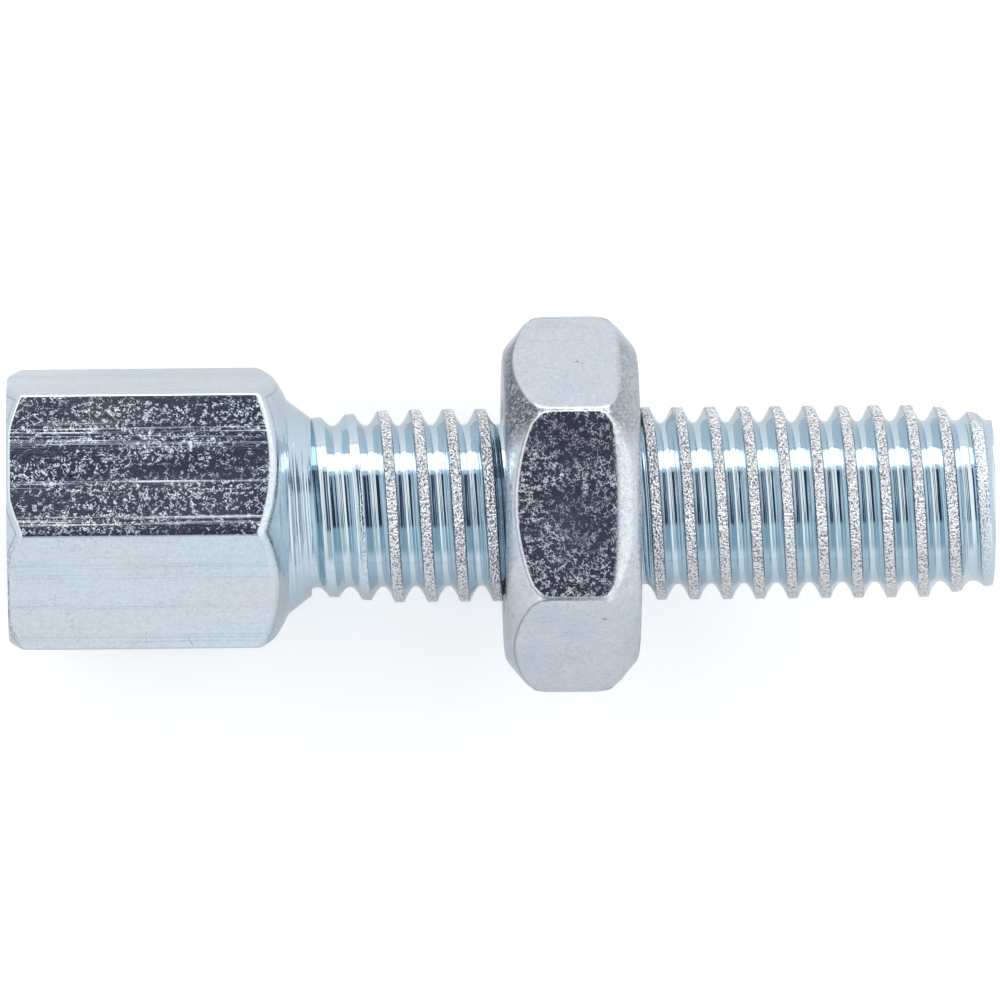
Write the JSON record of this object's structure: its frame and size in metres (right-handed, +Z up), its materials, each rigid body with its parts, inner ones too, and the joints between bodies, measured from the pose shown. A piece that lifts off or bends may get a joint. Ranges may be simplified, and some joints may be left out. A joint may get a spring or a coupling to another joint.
{
  "type": "throttle cable adjuster screw",
  "caption": "Hex-headed M6 adjuster screw bored through for a control cable, with a casing socket in its head and a hex lock nut on its thread.",
  "frame": {"origin": "on the screw's axis, in the mouth of the casing socket at the end of the head", "axes": "+X along the screw from the head to the threaded tip, +Z up from the surface that the nut lies on, +Y across"},
  "size_m": [0.03, 0.0114, 0.01],
  "materials": {
    "screw_zinc": "bright zinc plate with a blue tint, scuffed on the flats",
    "nut_zinc": "bright zinc plate, scuffed on the flats"
  },
  "bodies": {
    "screw": {"adjuster_screw": "screw_zinc"},
    "nut": {"lock_nut": "nut_zinc"}
  },
  "joints": [
    {"name": "nut_travel", "type": "slide", "parent": "screw", "child": "nut", "axis": [1, 0, 0], "range_m": [-0.0047, 0.0108]}
  ]
}
